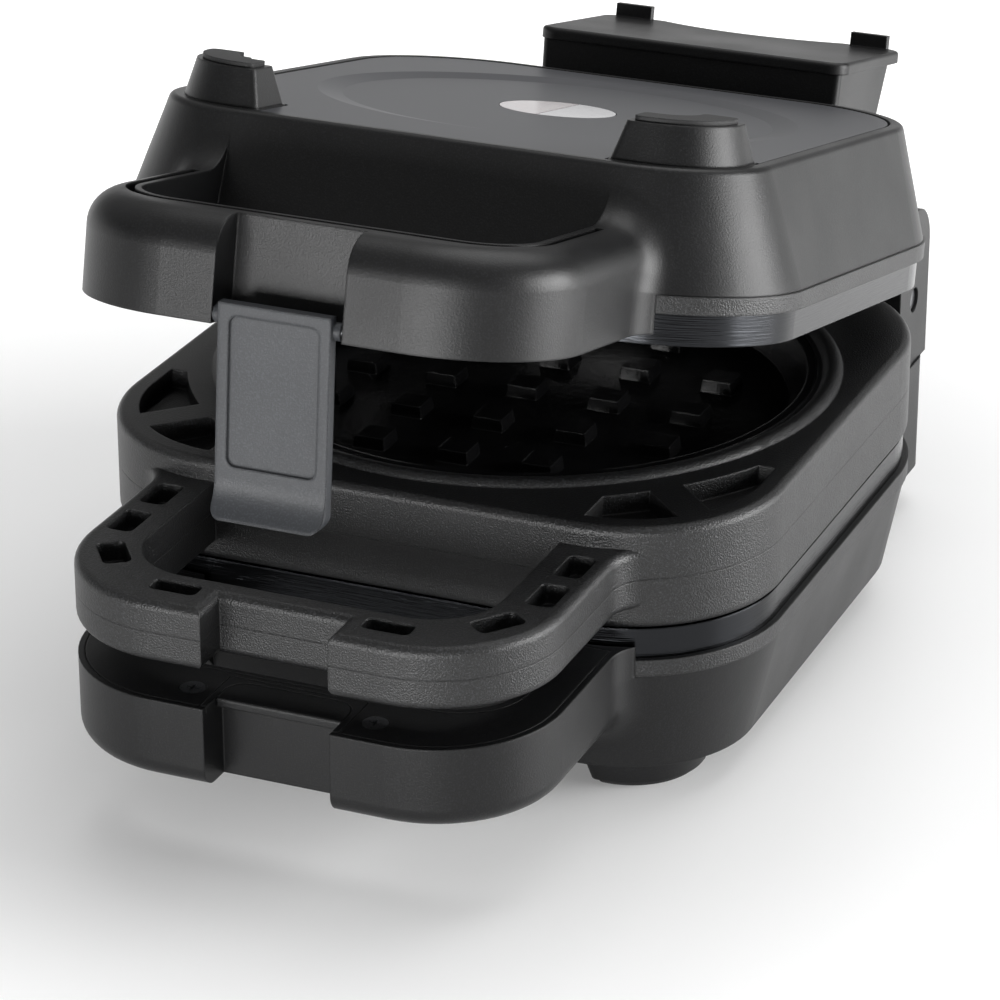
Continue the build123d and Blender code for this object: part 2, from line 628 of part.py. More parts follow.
# Tray, upper casting: body with a round rim bead, handle loop with pockets, notch for the latch
with BuildPart() as tray_upper:
    with BuildSketch(SEAM) as tray_plan:
        draw(body_corners())
        draw(block_corners())
        roots = [
            corner
            for corner in tray_plan.vertices()
            if abs(abs(corner.X) - HANDLE_HALF_W) < FIT and abs(corner.Y - BODY_FRONT) < FRONT_DRAFT
        ]
        fillet(roots, radius=ROOT_R)
        with Locations((0, HANDLE_FRONT)):
            Rectangle(2 * NOTCH_HALF_W, 2 * NOTCH_DEPTH, mode=Mode.SUBTRACT)
    extrude(amount=TRAY_HANDLE_HALF)
    fillet(tray_upper.faces().sort_by(Axis.Z)[-1].edges(), radius=TRAY_EDGE_ROUND)
    with BuildSketch(SEAM):
        draw_gap(TRAY_GAP_HALF_W, TRAY_GAP_FRONT)
    extrude(amount=TRAY_HANDLE_HALF, mode=Mode.SUBTRACT)
    with BuildSketch(SEAM):
        draw(body_corners())
    extrude(amount=TRAY_BODY_HALF)
    fillet(tray_upper.faces().sort_by(Axis.Z)[-1].edges(), radius=TRAY_EDGE_ROUND)
    with Locations((0, WELL_Y, TRAY_TOP + RIM_PROUD - RIM_TUBE_R)):
        Torus(RIM_R, RIM_TUBE_R)
    with Locations((0, WELL_Y, SEAM_Z)):
        Cylinder(INSERT_R, 2 * TRAY_BODY_HALF, mode=Mode.SUBTRACT)
    with BuildSketch(SEAM.offset(TRAY_BODY_HALF - POCKET_DEPTH)):
        draw(body_corners(inset=POCKET_WALL))
        with Locations((0, WELL_Y)):
            Circle(POCKET_RING_R, mode=Mode.SUBTRACT)
            Rectangle(3 * HALF_W, RIB_W, rotation=RIB_ANGLE, mode=Mode.SUBTRACT)
            Rectangle(3 * HALF_W, RIB_W, rotation=-RIB_ANGLE, mode=Mode.SUBTRACT)
        Rectangle(2 * POCKET_INNER_X, 4 * HALF_W, mode=Mode.SUBTRACT)
        with Locations((0, BODY_FRONT + POCKET_END)):
            Rectangle(3 * HALF_W, 3 * HALF_W, align=(Align.CENTER, Align.MIN), mode=Mode.SUBTRACT)
    extrude(amount=POCKET_DEPTH, mode=Mode.SUBTRACT)
    with BuildSketch(SEAM.offset(TRAY_HANDLE_HALF - POCKET_DEPTH)):
        for side in (-1, 1):
            pocket_x = side * (HANDLE_HALF_W - POCKET_INSET)
            with Locations(*[(pocket_x, HANDLE_FRONT + y) for y in (SIDE_POCKET_1, SIDE_POCKET_2)]):
                RectangleRounded(POCKET_W, SIDE_POCKET_L, POCKET_R)
            corner_x = side * (HANDLE_HALF_W - CORNER_POCKET_X)
            corner_y = HANDLE_FRONT + CORNER_POCKET_Y
            with Locations(Location((corner_x, corner_y, 0), (0, 0, -CORNER_POCKET_TURN * side))):
                RectangleRounded(POCKET_W, SIDE_POCKET_L, POCKET_R)
            with Locations((side * FRONT_POCKET_X, HANDLE_FRONT + FRONT_POCKET_SET)):
                RectangleRounded(SIDE_POCKET_L, FRONT_POCKET_W, POCKET_R)
    extrude(amount=POCKET_DEPTH, mode=Mode.SUBTRACT)
    with Locations(*[(x, y, SEAM_Z) for x, y in TRAY_SCREW_SPOTS]):
        Cylinder(TRAY_SCREW_R + FIT, TRAY_SCREW_BITE + FIT, align=UPWARD, mode=Mode.SUBTRACT)
save(tray_upper, "tray_upper")

# Tray, lower casting: the same turned over, with counterbored screw holes
with BuildPart() as tray_lower:
    add(mirror(tray_upper.part, about=SEAM, mode=Mode.PRIVATE))
    with Locations(*[(x, y, SEAM_Z - TRAY_SCREW_SEAT) for x, y in TRAY_SCREW_SPOTS]):
        Cylinder(TRAY_SCREW_R + FIT, TRAY_SCREW_SEAT, align=UPWARD, mode=Mode.SUBTRACT)
        Cylinder(TRAY_SCREW_HEAD_R + FIT, TRAY_BODY_HALF, align=DOWNWARD, mode=Mode.SUBTRACT)
save(tray_lower, "tray_lower")

with BuildPart() as tray_screws:
    with Locations(*[(x, y, SEAM_Z - TRAY_SCREW_SEAT) for x, y in TRAY_SCREW_SPOTS]):
        Cylinder(TRAY_SCREW_R, TRAY_SCREW_SEAT + TRAY_SCREW_BITE, align=UPWARD)
        Cylinder(TRAY_SCREW_HEAD_R, TRAY_SCREW_R, align=DOWNWARD)
save(tray_screws, "tray_screws")

# Tray baking plates: dished inserts with pegs
with BuildPart() as tray_upper_plate:
    with Locations((0, WELL_Y, TRAY_FLOOR - INSERT_SHEET)):
        insert_h = TRAY_TOP - TRAY_FLOOR + INSERT_SHEET
        Cylinder(INSERT_R - FIT, insert_h, align=UPWARD)
    with BuildSketch(Plane.XY.offset(TRAY_TOP)):
        with Locations((0, WELL_Y)):
            Circle(WELL_R)
    extrude(amount=TRAY_FLOOR - TRAY_TOP, taper=WELL_DRAFT, mode=Mode.SUBTRACT)
    with BuildSketch(Plane.XY.offset(TRAY_FLOOR)):
        with Locations(*peg_spots):
            Rectangle(PEG_W, PEG_W)
    extrude(amount=PEG_H, taper=PEG_DRAFT)
save(tray_upper_plate, "tray_upper_plate")

with BuildPart() as tray_lower_plate:
    add(mirror(tray_upper_plate.part, about=SEAM, mode=Mode.PRIVATE))
save(tray_lower_plate, "tray_lower_plate")

with BuildPart() as tray_heater:
    with Locations((0, WELL_Y, SEAM_Z)):
        Torus(HEATER_R, TRAY_HEATER_TUBE_R)
save(tray_heater, "tray_heater")

with BuildPart() as tray_hinge_arm_right:
    with BuildSketch(Plane.YZ.offset(TRAY_ARM_INNER_X)):
        with Locations((HINGE_Y, SEAM_Z)):
            Circle(EYE_R)
        with Locations((REAR_Y, SEAM_Z)):
            Rectangle(HINGE_Y - REAR_Y, 2 * ARM_H, align=(Align.MIN, Align.CENTER))
        with Locations((HINGE_Y, SEAM_Z)):
            Circle(AXLE_R + AXLE_CLEARANCE, mode=Mode.SUBTRACT)
    extrude(amount=ARM_W)
save(tray_hinge_arm_right, "tray_hinge_arm_right")

with BuildPart() as tray_hinge_arm_left:
    add(mirror(tray_hinge_arm_right.part, about=Plane.YZ, mode=Mode.PRIVATE))
save(tray_hinge_arm_left, "tray_hinge_arm_left")

# Room for fingers and latch in the lid's handle, as far back as the drafted wall
with BuildPart() as lid_gap:
    with BuildSketch(Plane.XY.offset(LID_HANDLE_BOTTOM)):
        draw_gap(LID_GAP_HALF_W, LID_GAP_FRONT, LID_GAP_R)
        with Locations((0, HANDLE_FRONT)):
            Rectangle(2 * NOTCH_HALF_W, 2 * NOTCH_DEPTH)
    extrude(amount=LID_TOP - LID_HANDLE_BOTTOM)
    with BuildSketch(Plane.XY.offset(LID_RIM)):
        draw(body_corners())
    with BuildSketch(Plane.XY.offset(LID_TOP)):
        draw(body_corners(draft=1))
    loft(ruled=True, mode=Mode.SUBTRACT)

# Lid shell, closed: rounded handle loop, drafted walls, recessed top and the neck to the cord box
with BuildPart() as lid_shell:
    with BuildSketch(Plane.XY.offset(LID_HANDLE_BOTTOM)):
        draw(block_corners())
    extrude(amount=LID_HANDLE_H)
    upper_edges = lid_shell.faces().sort_by(Axis.Z)[-1].edges().sort_by(Axis.Y)[:-1]
    fillet(upper_edges, radius=LID_HANDLE_ROUND)
    with BuildSketch(Plane.XY.offset(LID_RIM)):
        draw(body_corners())
    with BuildSketch(Plane.XY.offset(LID_TOP)):
        draw(body_corners(draft=1))
    loft(ruled=True)
    with BuildSketch(Plane.XY.offset(LID_HANDLE_BOTTOM)):
        draw(body_corners())
    extrude(amount=LID_RIM - LID_HANDLE_BOTTOM)
    fillet(root_edges(lid_shell), radius=ROOT_R)
    add(lid_gap.part, mode=Mode.SUBTRACT)
    with BuildSketch(Plane.XY.offset(LID_HANDLE_TOP)):
        outer = LIP_W + GROOVE_W
        draw_gap(LID_GAP_HALF_W + outer, LID_GAP_FRONT - outer, LID_GAP_R + outer, back=GROOVE_END)
        inner = (LID_GAP_HALF_W + LIP_W, LID_GAP_FRONT - LIP_W, LID_GAP_R + LIP_W)
        draw_gap(*inner, back=GROOVE_END, mode=Mode.SUBTRACT)
    extrude(amount=-GROOVE_DEPTH, mode=Mode.SUBTRACT)
    fillet(lid_shell.faces().sort_by(Axis.Z)[-1].edges(), radius=TOP_EDGE_ROUND)
    with Locations((0, BOX_FRONT, LID_RIM)):
        neck_l = BOX_FRONT - REAR_Y + ROOF + REAR_DRAFT
        Box(2 * NECK_HALF_W, neck_l, NECK_H, align=(Align.CENTER, Align.MAX, Align.MIN))
    with BuildSketch(Plane.XY.offset(LID_RIM)):
        draw(body_corners(inset=WALL))
    with BuildSketch(Plane.XY.offset(LID_TOP - ROOF)):
        draw(body_corners(inset=WALL, draft=1))
    loft(ruled=True, mode=Mode.SUBTRACT)
    with BuildSketch(Plane.XY.offset(LID_HANDLE_BOTTOM)):
        draw(body_corners(inset=-BEZEL_PROUD - FIT))
    extrude(amount=LID_RIM - LID_HANDLE_BOTTOM, mode=Mode.SUBTRACT)
    with BuildSketch(Plane.XY.offset(LID_TOP - INLAY_DEPTH)):
        draw(body_corners(inset=INLAY_MARGIN, draft=1))
        draw(foot_corners(margin=FOOT_ROOM), mode=Mode.SUBTRACT)
        draw(mirrored(foot_corners(margin=FOOT_ROOM)), mode=Mode.SUBTRACT)
    extrude(amount=INLAY_DEPTH, mode=Mode.SUBTRACT)
    with Locations((0, LENS_Y, LENS_TOP - LENS_T)):
        Cylinder(LENS_R + LENS_CLEARANCE, ROOF, align=UPWARD, mode=Mode.SUBTRACT)
    with Locations((0, LENS_Y, LID_TOP - ROOF)):
        Cylinder(LENS_R - LENS_LEDGE, 2 * ROOF, mode=Mode.SUBTRACT)
    with Locations(*[(x, LENS_Y, LID_TOP - ROOF) for x in (-BOARD_POST_X, BOARD_POST_X)]):
        Cylinder(BOARD_POST_R, BOARD_DROP, align=DOWNWARD)
    with Locations(Location((0, LATCH_PIVOT_Y, LATCH_PIVOT_Z), (0, 90, 0))):
        Cylinder(LATCH_PIN_R, 2 * (NOTCH_HALF_W + LATCH_PIN_GRIP), mode=Mode.SUBTRACT)
lid_shell.part.move(LID_PLACE)
save(lid_shell, "lid_shell")

# Inlay: the sheet in the lid's top, with a shallow round dish whose edge slopes
with BuildPart() as lid_inlay:
    with BuildSketch(Plane.XY.offset(LID_TOP - INLAY_DEPTH)):
        draw(body_corners(inset=INLAY_MARGIN + INLAY_GROOVE, draft=1))
        draw(foot_corners(margin=FOOT_ROOM + INLAY_GROOVE), mode=Mode.SUBTRACT)
        draw(mirrored(foot_corners(margin=FOOT_ROOM + INLAY_GROOVE)), mode=Mode.SUBTRACT)
        with Locations((0, LENS_Y)):
            Circle(LENS_R + LENS_CLEARANCE, mode=Mode.SUBTRACT)
    extrude(amount=INLAY_SHEET)
    with Locations((0, LENS_Y, LENS_TOP)):
        Cone(DISH_R - DISH_SLOPE, DISH_R, DISH_DEPTH, align=UPWARD, mode=Mode.SUBTRACT)
lid_inlay.part.move(LID_PLACE)
save(lid_inlay, "lid_inlay")

# Two half-round lenses with a lamp under each
with BuildPart() as lens_ready:
    with BuildSketch(Plane.XY.offset(LENS_TOP)):
        with Locations((0, LENS_Y)):
            Circle(LENS_R)
        with Locations((LENS_SLIT / 2, LENS_Y)):
            Rectangle(2 * LENS_R, 2 * LENS_R, align=(Align.MAX, Align.CENTER), mode=Mode.SUBTRACT)
    extrude(amount=-LENS_T)
lens_ready.part.move(LID_PLACE)
save(lens_ready, "lens_ready")

with BuildPart() as lens_heating:
    add(mirror(lens_ready.part, about=Plane.YZ, mode=Mode.PRIVATE))
save(lens_heating, "lens_heating")

with BuildPart() as lamp_ready:
    with Locations((LAMP_X, LENS_Y, LID_TOP - ROOF - BOARD_DROP)):
        Cylinder(LAMP_R, LAMP_H - LAMP_R, align=UPWARD)
    with Locations((LAMP_X, LENS_Y, LID_TOP - ROOF - BOARD_DROP + LAMP_H - LAMP_R)):
        Sphere(LAMP_R)
lamp_ready.part.move(LID_PLACE)
save(lamp_ready, "lamp_ready")

with BuildPart() as lamp_heating:
    add(mirror(lamp_ready.part, about=Plane.YZ, mode=Mode.PRIVATE))
save(lamp_heating, "lamp_heating")

with BuildPart() as lamp_board:
    with Locations((0, LENS_Y, LID_TOP - ROOF - BOARD_DROP)):
        Box(BOARD_L, BOARD_W, BOARD_T, align=DOWNWARD)
lamp_board.part.move(LID_PLACE)
save(lamp_board, "lamp_board")

# The lid's bezel, plate, heater and thermostat are the base's turned over
with BuildPart() as lid_bezel:
    add(mirror(base_bezel.part, about=SEAM, mode=Mode.PRIVATE))
lid_bezel.part.move(LID_PLACE)
save(lid_bezel, "lid_bezel")

with BuildPart() as lid_plate:
    add(mirror(base_plate.part, about=SEAM, mode=Mode.PRIVATE))
lid_plate.part.move(LID_PLACE)
save(lid_plate, "lid_plate")

with BuildPart() as lid_heater:
    add(mirror(base_heater.part, about=SEAM, mode=Mode.PRIVATE))
lid_heater.part.move(LID_PLACE)
save(lid_heater, "lid_heater")

with BuildPart() as lid_thermostat:
    add(mirror(base_thermostat.part, about=SEAM, mode=Mode.PRIVATE))
lid_thermostat.part.move(LID_PLACE)
save(lid_thermostat, "lid_thermostat")

# Two feet on the lid's top front corners, the base's turned over
with BuildPart() as lid_foot_right:
    add(mirror(base_foot_front_right.part, about=MIDDLE, mode=Mode.PRIVATE))
lid_foot_right.part.move(LID_PLACE)
save(lid_foot_right, "lid_foot_right")

with BuildPart() as lid_foot_left:
    add(mirror(lid_foot_right.part, about=Plane.YZ, mode=Mode.PRIVATE))
save(lid_foot_left, "lid_foot_left")

with BuildPart() as lid_pad_right:
    add(mirror(base_pad_front_right.part, about=MIDDLE, mode=Mode.PRIVATE))
lid_pad_right.part.move(LID_PLACE)
save(lid_pad_right, "lid_pad_right")

with BuildPart() as lid_pad_left:
    add(mirror(lid_pad_right.part, about=Plane.YZ, mode=Mode.PRIVATE))
save(lid_pad_left, "lid_pad_left")

# Lid hinge arms: from the neck down to the axles
with BuildPart() as lid_hinge_arm_right:
    with BuildSketch(Plane.YZ.offset(LID_ARM_INNER_X)):
        with BuildLine():
            CenterArc((HINGE_Y, SEAM_Z), EYE_R, 0, 360)
            Line((BOX_FRONT - ARM_ROOT, LID_RIM), (BOX_FRONT, LID_RIM))
        make_hull()
        with Locations((HINGE_Y, SEAM_Z)):
            Circle(AXLE_R + AXLE_CLEARANCE, mode=Mode.SUBTRACT)
    extrude(amount=ARM_W)
lid_hinge_arm_right.part.move(LID_PLACE)
save(lid_hinge_arm_right, "lid_hinge_arm_right")

with BuildPart() as lid_hinge_arm_left:
    add(mirror(lid_hinge_arm_right.part, about=Plane.YZ, mode=Mode.PRIVATE))
save(lid_hinge_arm_left, "lid_hinge_arm_left")

# Cord box behind the lid, open at the top, and its cover with a scooped rear edge and two tabs
with BuildPart() as cord_box:
    with BuildSketch(Plane.XY.offset(BOX_BOTTOM_Z)):
        draw(box_corners(BOX_TAPER, BOX_SIDE_TAPER))
    with BuildSketch(Plane.XY.offset(BOX_TOP_Z)):
        draw(box_corners(0))
    loft(ruled=True)
    with BuildSketch(Plane.XY.offset(BOX_BOTTOM_Z + BOX_WALL)):
        draw(box_corners(BOX_TAPER, BOX_SIDE_TAPER, inset=BOX_WALL))
    with BuildSketch(Plane.XY.offset(BOX_TOP_Z)):
        draw(box_corners(0, inset=BOX_WALL))
    loft(ruled=True, mode=Mode.SUBTRACT)
cord_box.part.move(LID_PLACE)
save(cord_box, "cord_box")

with BuildPart() as cord_box_cover:
    with BuildSketch(Plane.XY.offset(BOX_TOP_Z)):
        draw(both_sides([((COVER_HALF_W, COVER_FRONT), COVER_R), ((COVER_HALF_W, COVER_REAR), COVER_R)]))
        scoop_r = (SCOOP_HALF_W**2 + SCOOP_DEPTH**2) / (2 * SCOOP_DEPTH)
        with Locations((0, COVER_REAR - SCOOP_DEPTH + scoop_r)):
            Circle(scoop_r, mode=Mode.SUBTRACT)
    extrude(amount=COVER_T)
    fillet(cord_box_cover.faces().sort_by(Axis.Z)[-1].edges(), radius=COVER_ROUND)
    with Locations(*[(x, COVER_REAR - TAB_T / 2, BOX_TOP_Z + COVER_T) for x in (-TAB_X, TAB_X)]):
        Box(TAB_W, TAB_T, TAB_H, align=(Align.CENTER, Align.MAX, Align.MIN))
cord_box_cover.part.move(LID_PLACE)
save(cord_box_cover, "cord_box_cover")

# Latch: a framed panel on a pin in the lid's notch, with a hook for the strike plate and a finger lip
with BuildPart() as latch_pin:
    with Locations(Location((0, LATCH_PIVOT_Y, LATCH_PIVOT_Z), (0, 90, 0))):
        Cylinder(LATCH_PIN_R - FIT / 4, 2 * (NOTCH_HALF_W + LATCH_PIN_GRIP) - FIT)
latch_pin.part.move(LID_PLACE)
save(latch_pin, "latch_pin")

with BuildPart() as latch:
    with BuildSketch(Plane.YZ.offset(-LATCH_W / 2)):
        with BuildLine():
            front = -LATCH_BARREL_R
            back = front + LATCH_PANEL_T
            tip = front - LATCH_FLARE
            hook_end = -LATCH_HOOK_Z - HOOK_T
            Line((front, LATCH_TOP), (front, -LATCH_LENGTH))
            Spline((front, -LATCH_LENGTH), (tip, -LATCH_END), tangents=[(0, -1), (-LATCH_SLOPE, -1)])
            Line((tip, -LATCH_END), (tip + LATCH_LIP_T, -LATCH_END))
            Spline((tip + LATCH_LIP_T, -LATCH_END), (back, hook_end), tangents=[(LATCH_SLOPE, 1), (0, 1)])
            Polyline((back, hook_end), (back, LATCH_TOP), (front, LATCH_TOP))
        make_face()
    extrude(amount=LATCH_W)
    with BuildSketch(Plane.XZ.offset(LATCH_BARREL_R + 2 * LATCH_FLARE)):
        draw(both_sides([((LATCH_W / 2, -LATCH_END), LATCH_CORNER_R), ((LATCH_W / 2, LATCH_TOP), 0)]))
    extrude(amount=-4 * (LATCH_BARREL_R + LATCH_FLARE), mode=Mode.INTERSECT)
    with BuildSketch(Plane.XZ.offset(LATCH_BARREL_R)):
        with Locations((0, LATCH_TOP - LATCH_BORDER)):
            panel_l = LATCH_LENGTH + LATCH_TOP - 2 * LATCH_BORDER
            RectangleRounded(
                LATCH_W - 2 * LATCH_BORDER, panel_l, LATCH_RECESS_R, align=(Align.CENTER, Align.MAX)
            )
    extrude(amount=-LATCH_RECESS, mode=Mode.SUBTRACT)
    with BuildSketch(Plane.YZ.offset(-HOOK_W / 2)):
        with BuildLine():
            Polyline(
                (front + LATCH_PANEL_T / 2, -LATCH_HOOK_Z),
                (HOOK_TIP, -LATCH_HOOK_Z),
                (HOOK_TIP, -LATCH_HOOK_Z - HOOK_DROP),
                (back, hook_end),
                (front + LATCH_PANEL_T / 2, hook_end),
                close=True,
            )
        make_face()
    extrude(amount=HOOK_W)
    with Locations(Location((0, 0, 0), (0, 90, 0))):
        Cylinder(LATCH_BARREL_R - LATCH_RECESS, 2 * (NOTCH_HALF_W - LATCH_SIDE_GAP))
        Cylinder(LATCH_PIN_R, 3 * NOTCH_HALF_W, mode=Mode.SUBTRACT)
latch.part.move(LID_PLACE * Location((0, LATCH_PIVOT_Y, LATCH_PIVOT_Z), (LATCH_LEAN, 0, 0)))
save(latch, "latch")
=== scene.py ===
# %% [markdown]
# # A double-deck baking appliance, dressed for its portrait
#
# The solid model arrives with every casting, shell, hinge and latch at its real size. This lesson gives
# those pieces their finishes and sets up a studio around them. It adds no piece and changes no shape.
# Everything is in metres, with +Z up and the handles towards -Y.

# %% Load the frame
import json
import math

import bpy
from mathutils import Matrix, Vector

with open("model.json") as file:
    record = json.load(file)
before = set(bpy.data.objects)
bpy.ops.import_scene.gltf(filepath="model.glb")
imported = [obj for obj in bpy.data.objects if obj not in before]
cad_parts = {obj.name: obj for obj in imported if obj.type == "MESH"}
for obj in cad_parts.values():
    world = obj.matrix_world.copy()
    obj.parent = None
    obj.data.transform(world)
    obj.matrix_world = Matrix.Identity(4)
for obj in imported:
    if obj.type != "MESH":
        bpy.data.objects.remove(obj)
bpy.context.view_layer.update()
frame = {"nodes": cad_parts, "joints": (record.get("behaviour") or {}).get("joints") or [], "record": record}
nodes = frame["nodes"]
joints = {joint["name"]: joint for joint in frame["joints"]}
MM = 0.001

# %% [markdown]
# ## Where the lid stands
#
# The lid was turned open about the rear hinge, so a pattern on it has to be turned too. The hinge's
# place and the opening angle come from the record: the angle is how far the lid hinge can close again.

# %% The lid's hinge and angle
hinge = Vector(joints["lid_hinge"]["pos_m"])
opening = math.radians(-joints["lid_hinge"]["range_deg"][0])
print("lid opened by", round(math.degrees(opening), 2), "degrees about", tuple(hinge))

# %% [markdown]
# ## The camera
#
# The photograph was taken with a long lens from the front right, a little above. The position and the
# lens below were fitted to the object's straight edges. A camera looks along its own -Z, so its axes are
# built from the azimuth and the elevation.

# %% Camera
AZIMUTH = math.radians(22.852)
ELEVATION = math.radians(24.088)
CAMERA_PLACE = (0.43785, -1.06741, 0.55486)
FOCAL_LENGTH = 150.07
SENSOR_WIDTH = 36.0
VIEW_REACH = 50

camera_data = bpy.data.cameras.new("camera")
camera_data.lens = FOCAL_LENGTH
camera_data.sensor_width = SENSOR_WIDTH
camera_data.clip_end = VIEW_REACH
camera = bpy.data.objects.new("camera", camera_data)
bpy.context.scene.collection.objects.link(camera)
camera.location = CAMERA_PLACE
camera.rotation_euler = (math.pi / 2 - ELEVATION, 0, AZIMUTH)
bpy.context.scene.camera = camera
bpy.context.scene.view_settings.view_transform = "Standard"
print("camera at", CAMERA_PLACE, "lens", FOCAL_LENGTH)

# %% [markdown]
# ## Helpers for materials
#
# Colours are written as sRGB hex, as a paint chart gives them, and one function turns them into the
# linear values that the shader works in. A second one adds a node, sets its properties and links or
# fills its inputs, so that each material below reads as a list of what feeds what.


# %% Colour and node helpers
def colour(hex_code):
    """Linear RGBA of an sRGB hex colour."""
    channels = [int(hex_code[i : i + 2], 16) / 255 for i in (1, 3, 5)]
    return [c / 12.92 if c <= 0.04045 else ((c + 0.055) / 1.055) ** 2.4 for c in channels] + [1.0]


def add_node(tree, kind, inputs=None, **settings):
    """Adds a node. Each input is a value, or the output socket of another node."""
    node = tree.nodes.new(kind)
    for name, value in settings.items():
        setattr(node, name, value)
    for name, value in (inputs or {}).items():
        if isinstance(value, bpy.types.NodeSocket):
            tree.links.new(value, node.inputs[name])
        else:
            node.inputs[name].default_value = value
    return node


def start_material(name, **shader_inputs):
    """Starts a material. Returns it, its tree, its Principled shader and Object coordinates."""
    material = bpy.data.materials.new(name)
    material.use_nodes = True
    tree = material.node_tree
    shader = tree.nodes["Principled BSDF"]
    for socket, value in shader_inputs.items():
        shader.inputs[socket.replace("_", " ")].default_value = value
    place = add_node(tree, "ShaderNodeTexCoord").outputs["Object"]
    return material, tree, shader, place


# %% [markdown]
# ## Satin black shell
#
# The lid, the base and the cord box are injection-moulded ABS from a tool with a fine matt grain. The
# eye gets a nearly black body colour, a broad soft highlight and a glitter in it. Paler spots in the body
# colour stand for that glitter: partly the grain's own tone, partly painted glints on tiny facets. The real
# grain is about a third of a millimetre, too fine to show, so it is drawn at half a millimetre. A slow
# noise varies the gloss, as handling does, and the Bevel node rounds the look of the moulded edges.
# The latch is the same plastic in grey, with softer edges.

# %% Satin black ABS
GRAIN = 0.5 * MM
GRAIN_DEPTH = 0.05 * MM
EDGE = 0.8 * MM
LATCH_EDGE = 1.3 * MM
HANDLING = 40 * MM


def grained(name, dark, grain_glint_tone, roughness, grain=GRAIN, depth=GRAIN_DEPTH, edge=EDGE, **shader_inputs):
    """Moulded plastic with a bumped grain. The paler grain spots in its body colour are partly grain tone,
    partly painted glints.
    """
    material, tree, shader, place = start_material(name, **shader_inputs)
    cloud = add_node(tree, "ShaderNodeTexNoise", {"Vector": place, "Scale": 1 / HANDLING, "Detail": 3})
    gloss_range = {"From Min": 0.3, "From Max": 0.7, "To Min": roughness - 0.04, "To Max": roughness + 0.04}
    gloss = add_node(tree, "ShaderNodeMapRange", {"Value": cloud.outputs["Fac"], **gloss_range})
    grit = add_node(tree, "ShaderNodeTexNoise", {"Vector": place, "Scale": 1 / grain, "Detail": 2})
    # Paler spots where the grain noise is high: partly the grain's own tone, partly painted glints.
    grain_glint_range = {"Value": grit.outputs["Fac"], "From Min": 0.5, "From Max": 0.66}
    grain_glint_mask = add_node(tree, "ShaderNodeMapRange", grain_glint_range)
    shades = {"Fac": grain_glint_mask.outputs["Result"], "Color1": colour(dark), "Color2": colour(grain_glint_tone)}
    body = add_node(tree, "ShaderNodeMixRGB", shades)
    rounded = add_node(tree, "ShaderNodeBevel", {"Radius": edge}, samples=4).outputs["Normal"]
    relief = {"Height": grit.outputs["Fac"], "Distance": depth, "Strength": 1.0, "Normal": rounded}
    bump = add_node(tree, "ShaderNodeBump", relief)
    tree.links.new(body.outputs["Color"], shader.inputs["Base Color"])
    tree.links.new(gloss.outputs["Result"], shader.inputs["Roughness"])
    tree.links.new(bump.outputs["Normal"], shader.inputs["Normal"])
    return material


shell_black = grained("abs_satin_black", "#060607", "#131415", 0.4, IOR=1.5, Specular_IOR_Level=0.34)
latch_grey = grained("abs_grained_grey", "#2a2c2f", "#35373b", 0.46, edge=LATCH_EDGE, IOR=1.45)
print("made", shell_black.name, "and", latch_grey.name)

# %% [markdown]
# ## Sand-textured black
#
# The tray's two castings and the bezel strips have a rougher, sparkling texture, as from a sand-blasted
# tool. Its grains are about half a millimetre across, so that is the size of the noise, and its relief
# is four times as deep as the shell's, deep enough to turn single grains towards the light. Paler spots in
# its body colour add painted glints to that sparkle, mixed with the grains' own tone.

# %% Sand-textured black
SAND = {"grain": 0.5 * MM, "depth": 0.2 * MM}
# The paler second colour is partly the grains' own tone, partly painted glints.
tray_black = grained("sand_textured_black", "#060606", "#242527", 0.4, **SAND, IOR=1.5)
print("made", tray_black.name)

# %% [markdown]
# ## Coated baking plate
#
# The plates are die-cast aluminium. Their wells have a black non-stick coating with a faint orange peel,
# and their outer edges are turned and only blackened, which gives the bright streaks under the lid. A
# point's distance from the well's axis tells the two apart. The turning marks are noise that changes
# fast upwards and slowly along the edge. The lid's plate is tilted, so its coordinates are first turned
# back about the hinge.

# %% Coated plate
WELL_SET = 7.5 * MM
EDGE_RADIUS = 95.5 * MM
TURNING_MARK = 0.45 * MM
MARK_LENGTH = 14 * MM
ORANGE_PEEL = 2.5 * MM
PLATE_RELIEF = 0.12 * MM


